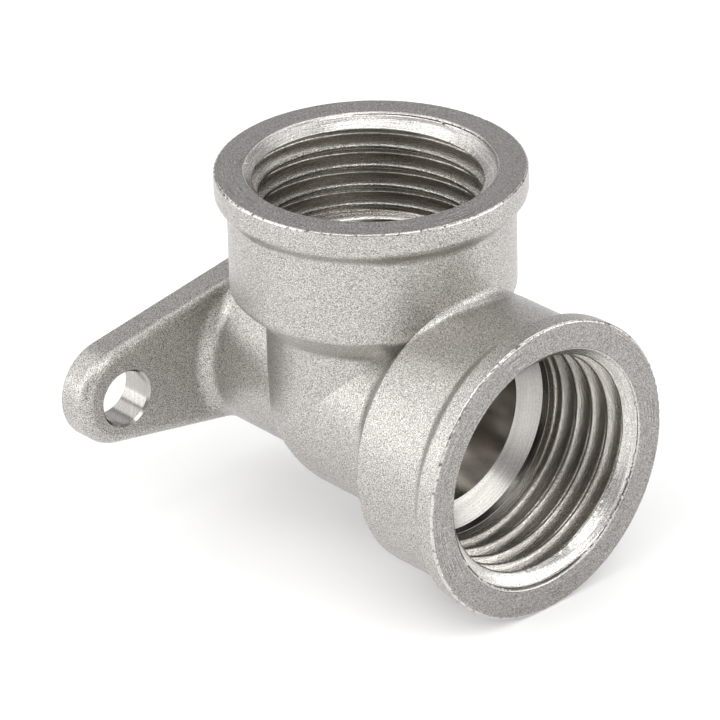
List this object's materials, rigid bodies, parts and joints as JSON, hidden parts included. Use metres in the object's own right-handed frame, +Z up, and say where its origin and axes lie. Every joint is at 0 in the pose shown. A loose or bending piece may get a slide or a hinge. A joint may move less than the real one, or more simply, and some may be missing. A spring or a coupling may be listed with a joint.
{
  "type": "wall plate elbow",
  "caption": "Forged plumbing elbow with female threaded sockets at a right angle and a flange with screw ears that fixes it to a wall.",
  "frame": {"origin": "centre of the boss on the wall face, where the axis of the outlet meets the wall", "axes": "+Y into the wall, +Z up along the inlet axis and out of its mouth, X along the ears of the flange; the outlet points along -Y"},
  "size_m": [0.0424, 0.0368, 0.0335],
  "materials": {
    "plated_brass": "satin, shot-blasted and nickel-plated"
  },
  "bodies": {
    "root": {"elbow_body": "plated_brass"}
  },
  "joints": []
}
